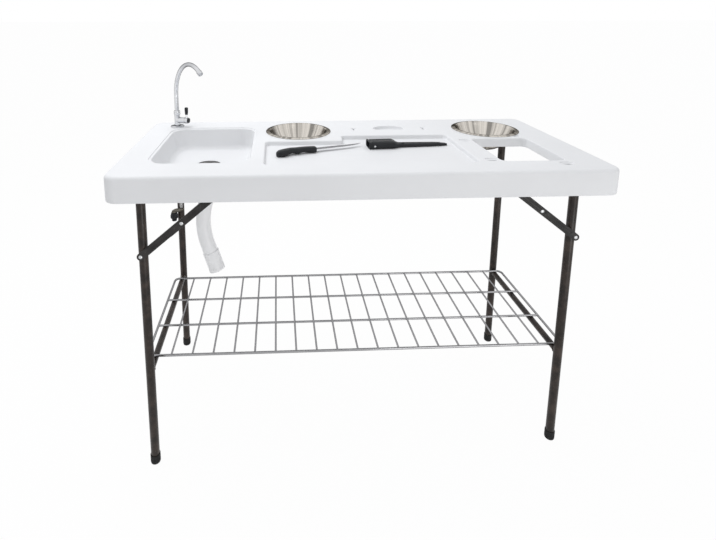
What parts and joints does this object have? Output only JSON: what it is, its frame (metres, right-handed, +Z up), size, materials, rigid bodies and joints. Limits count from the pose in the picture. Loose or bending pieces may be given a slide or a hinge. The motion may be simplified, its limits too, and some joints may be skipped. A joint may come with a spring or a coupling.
{
  "type": "fish cleaning table",
  "caption": "Folding fish cleaning table with a moulded sink, faucet, drain hose, bowls, waste opening and wire rack on folding leg frames.",
  "frame": {"origin": "on the ground at the middle of the table's footprint", "axes": "+X along the table away from the sink, +Y away from the person who works at it, +Z up"},
  "size_m": [1.32, 0.576, 1.0935],
  "materials": {
    "white_plastic": "satin off-white moulded plastic",
    "hose_plastic": "smooth white plastic",
    "black_paint": "dark brown-black powder coat",
    "grey_paint": "dark grey paint",
    "black_plastic": "fine-grained black plastic",
    "rubber": "black rubber",
    "zinc": "zinc plated",
    "chrome": "bright chrome",
    "steel": "polished stainless steel",
    "brass": "cast brass"
  },
  "bodies": {
    "table": {"table_top": "white_plastic", "front_rail": "black_paint", "rear_rail": "black_paint", "left_front_pivot_bolt": "zinc", "left_rear_pivot_bolt": "zinc", "right_front_pivot_bolt": "zinc", "right_rear_pivot_bolt": "zinc", "left_brace_top_pin": "zinc", "right_brace_top_pin": "zinc", "faucet_base": "chrome", "faucet_body": "chrome", "faucet_end_cap": "black_plastic", "faucet_spout_nut": "chrome", "faucet_lock_nut": "brass", "faucet_supply_pipe": "steel", "inlet_elbow": "brass", "hose_connector": "black_plastic", "drain_flange": "steel", "drain_strainer": "steel", "drain_gasket": "rubber", "drain_lock_nut": "white_plastic", "drain_hose": "hose_plastic", "hose_cuff": "hose_plastic", "hose_clamp": "steel"},
    "left_frame": {"left_front_leg": "black_paint", "left_rear_leg": "black_paint", "left_crossbar": "black_paint", "left_front_foot_cap": "rubber", "left_rear_foot_cap": "rubber", "left_brace_leg_rivet": "zinc"},
    "left_upper_link": {"left_brace_upper_link": "grey_paint", "left_brace_middle_rivet": "zinc"},
    "left_lower_link": {"left_brace_lower_link": "grey_paint"},
    "right_frame": {"right_front_leg": "black_paint", "right_rear_leg": "black_paint", "right_crossbar": "black_paint", "right_front_foot_cap": "rubber", "right_rear_foot_cap": "rubber", "right_brace_leg_rivet": "zinc"},
    "right_upper_link": {"right_brace_upper_link": "grey_paint", "right_brace_middle_rivet": "zinc"},
    "right_lower_link": {"right_brace_lower_link": "grey_paint"},
    "rack": {"wire_rack": "steel"},
    "bowl_left": {"left_bowl": "steel"},
    "bowl_right": {"right_bowl": "steel"},
    "spout": {"faucet_spout": "chrome", "faucet_aerator": "chrome"},
    "lever": {"faucet_lever": "chrome", "faucet_lever_grip": "black_plastic"},
    "knife": {"knife_blade": "steel", "knife_handle": "black_plastic"},
    "sheath": {"knife_sheath": "black_plastic"}
  },
  "joints": [
    {"name": "left_fold", "type": "hinge", "parent": "table", "child": "left_frame", "pos_m": [-0.578, 0, 0.81], "axis": [0, -1, 0], "range_deg": [0, 90]},
    {"name": "right_fold", "type": "hinge", "parent": "table", "child": "right_frame", "pos_m": [0.578, 0, 0.81], "axis": [0, -1, 0], "range_deg": [-87.35, 0]},
    {"name": "left_upper_link_hinge", "type": "hinge", "parent": "table", "child": "left_upper_link", "pos_m": [-0.38, -0.2603, 0.804], "axis": [0, -1, 0], "range_deg": [0, 134.4]},
    {"name": "left_lower_link_hinge", "type": "hinge", "parent": "left_frame", "child": "left_lower_link", "pos_m": [-0.582, -0.2569, 0.633], "axis": [0, -1, 0], "range_deg": [-135.8, 0]},
    {"name": "right_upper_link_hinge", "type": "hinge", "parent": "table", "child": "right_upper_link", "pos_m": [0.397, -0.2323, 0.795], "axis": [0, -1, 0], "range_deg": [-148.2, 0]},
    {"name": "right_lower_link_hinge", "type": "hinge", "parent": "right_frame", "child": "right_lower_link", "pos_m": [0.586, -0.2289, 0.648], "axis": [0, -1, 0], "range_deg": [0, 119.9]},
    {"name": "rack_slide", "type": "slide", "parent": "table", "child": "rack", "axis": [0.9578, 0, 0.2873], "range_m": [0, 1.313]},
    {"name": "left_bowl_lift", "type": "slide", "parent": "table", "child": "bowl_left", "axis": [0, 0, 1], "range_m": [0, 0.15]},
    {"name": "right_bowl_lift", "type": "slide", "parent": "table", "child": "bowl_right", "axis": [0, 0, 1], "range_m": [0, 0.15]},
    {"name": "spout_swivel", "type": "hinge", "parent": "table", "child": "spout", "pos_m": [-0.572, 0.22, 0.92], "axis": [0, 0, 1], "range_deg": [-90, 90]},
    {"name": "lever_turn", "type": "hinge", "parent": "table", "child": "lever", "pos_m": [-0.572, 0.22, 0.8833], "axis": [0.9659, -0.2588, 0], "range_deg": [0, 90]},
    {"name": "knife_lift", "type": "slide", "parent": "table", "child": "knife", "axis": [0, 0, 1], "range_m": [0, 0.15]},
    {"name": "sheath_lift", "type": "slide", "parent": "table", "child": "sheath", "axis": [0, 0, 1], "range_m": [0, 0.15]}
  ],
  "couplings": [
    {"joint": "right_fold", "follows": "left_fold", "ratio": -0.97},
    {"joint": "left_upper_link_hinge", "follows": "left_fold", "ratio": 1.4923},
    {"joint": "left_lower_link_hinge", "follows": "left_fold", "ratio": -1.5077},
    {"joint": "right_upper_link_hinge", "follows": "left_fold", "ratio": -1.6454},
    {"joint": "right_lower_link_hinge", "follows": "left_fold", "ratio": 1.3316},
    {"joint": "rack_slide", "follows": "left_fold", "m_per_rad": 0.8352}
  ]
}
